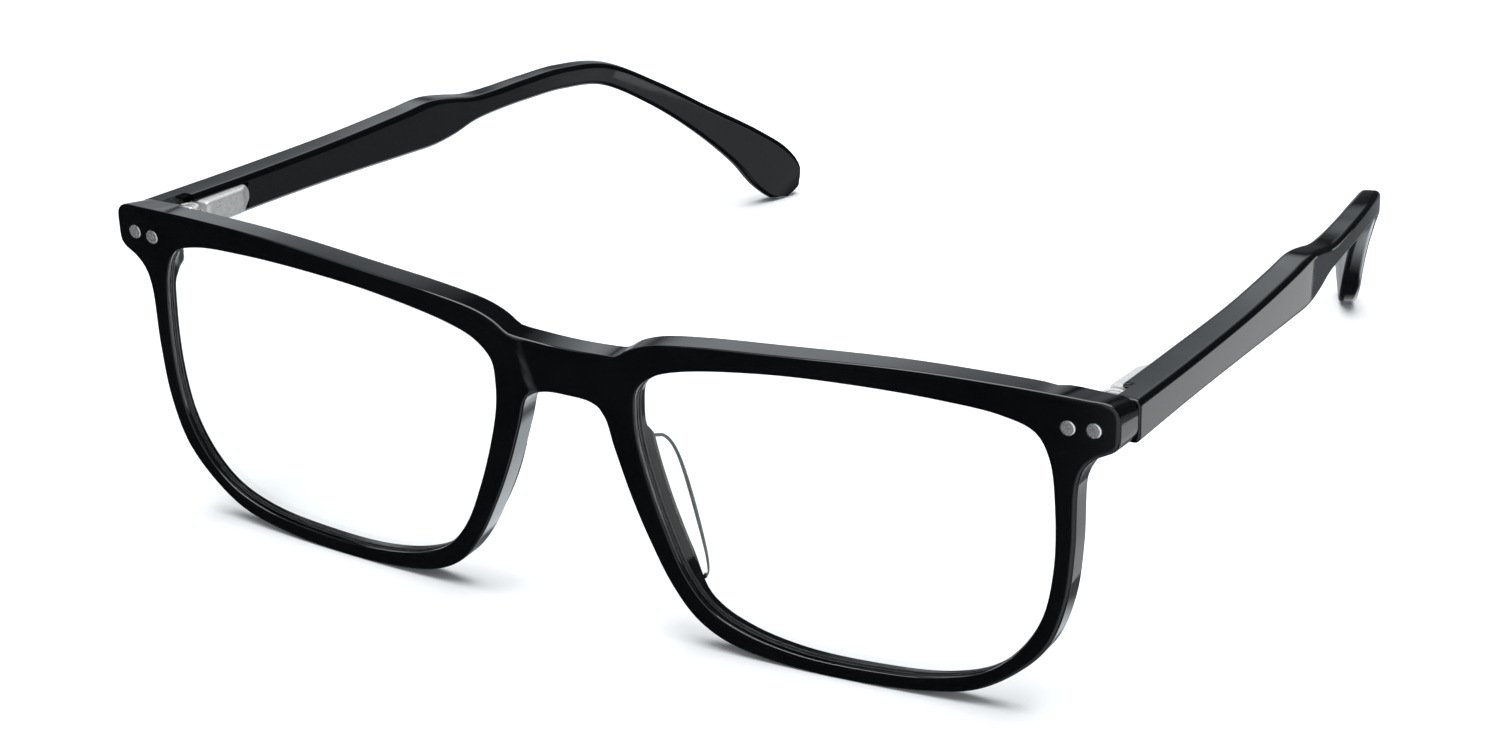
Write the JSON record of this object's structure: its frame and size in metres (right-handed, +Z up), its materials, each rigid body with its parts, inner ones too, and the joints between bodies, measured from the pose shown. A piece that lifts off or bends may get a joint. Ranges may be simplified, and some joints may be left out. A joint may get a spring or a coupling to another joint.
{
  "type": "eyeglasses",
  "caption": "Rectangular acetate eyeglasses with riveted end pieces, clear lenses and folding temples on spring hinges.",
  "frame": {"origin": "middle of the footprint, on the surface that the rims and temple tips stand on", "axes": "+Z up, +X to the wearer's left, +Y back along the open temples"},
  "size_m": [0.1384, 0.1374, 0.0413],
  "materials": {
    "acetate": "polished black acetate",
    "lens": "clear, polished",
    "pad": "clear acetate",
    "hinge_steel": "satin",
    "bright_steel": "bright"
  },
  "bodies": {
    "front": {"front_frame": "acetate", "lens_left": "lens", "lens_right": "lens", "nose_pad_left": "pad", "nose_pad_right": "pad", "hinge_plate_left": "hinge_steel", "hinge_plate_right": "hinge_steel", "rivet_inner_left": "hinge_steel", "rivet_inner_right": "hinge_steel", "rivet_outer_left": "hinge_steel", "rivet_outer_right": "hinge_steel"},
    "screw_left": {"hinge_screw_left": "bright_steel"},
    "screw_right": {"hinge_screw_right": "bright_steel"},
    "slider_left": {"hinge_slider_left": "bright_steel", "slider_stop_left": "hinge_steel"},
    "slider_right": {"hinge_slider_right": "bright_steel", "slider_stop_right": "hinge_steel"},
    "temple_left": {"temple_left": "acetate", "spring_case_left": "hinge_steel", "core_wire_left": "bright_steel", "coil_spring_left": "bright_steel"},
    "temple_right": {"temple_right": "acetate", "spring_case_right": "hinge_steel", "core_wire_right": "bright_steel", "coil_spring_right": "bright_steel"}
  },
  "joints": [
    {"name": "fold_left", "type": "hinge", "parent": "front", "child": "screw_left", "pos_m": [0.0644, -0.05578, 0.0364], "axis": [0, -0.0209, 0.9998], "range_deg": [0, 83]},
    {"name": "flex_left", "type": "hinge", "parent": "screw_left", "child": "temple_left", "pos_m": [0.0697, -0.05634, 0.03639], "axis": [0, 0.0209, -0.9998], "range_deg": [0, 12], "stiffness_Nm_per_rad": 0.6},
    {"name": "slide_left", "type": "slide", "parent": "temple_left", "child": "slider_left", "axis": [0, -0.9998, -0.0209], "range_m": [0, 0.00115], "deforming": ["coil_spring_left"]},
    {"name": "fold_right", "type": "hinge", "parent": "front", "child": "screw_right", "pos_m": [-0.0644, -0.05578, 0.0364], "axis": [0.0698, 0.0209, -0.9973], "range_deg": [0, 71]},
    {"name": "flex_right", "type": "hinge", "parent": "screw_right", "child": "temple_right", "pos_m": [-0.06968, -0.05637, 0.03602], "axis": [-0.0698, -0.0209, 0.9973], "range_deg": [0, 12], "stiffness_Nm_per_rad": 0.6},
    {"name": "slide_right", "type": "slide", "parent": "temple_right", "child": "slider_right", "axis": [0.0079, -0.9998, -0.0204], "range_m": [0, 0.00115], "deforming": ["coil_spring_right"]}
  ],
  "couplings": [
    {"joint": "slide_left", "follows": "flex_left", "m_per_rad": 0.0053},
    {"joint": "slide_right", "follows": "flex_right", "m_per_rad": 0.0053}
  ]
}
